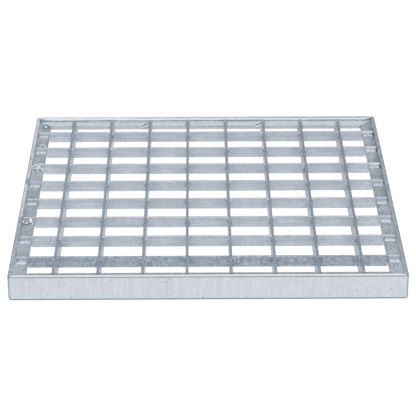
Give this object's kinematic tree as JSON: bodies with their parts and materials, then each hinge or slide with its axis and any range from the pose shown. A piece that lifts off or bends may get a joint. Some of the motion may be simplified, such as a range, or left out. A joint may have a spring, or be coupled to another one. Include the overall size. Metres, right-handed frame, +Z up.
{
  "type": "steel grating panel",
  "caption": "Square press-locked steel grating panel: load bars on edge crossed by shallower bars, in a mitred frame of T-section lying on its side.",
  "frame": {"origin": "middle of the panel's underside", "axes": "+X along the cross bars, +Y along the load bars towards the back frame bar, +Z up out of the tread surface"},
  "size_m": [0.3, 0.3, 0.02],
  "materials": {
    "galvanised_bars": "matte hot-dip zinc",
    "galvanised_frame": "matte hot-dip zinc, faintly streaked and speckled"
  },
  "bodies": {
    "root": {"bar_grid": "galvanised_bars", "frame_front": "galvanised_frame", "frame_back": "galvanised_frame", "frame_left": "galvanised_frame", "frame_right": "galvanised_frame"}
  },
  "joints": []
}
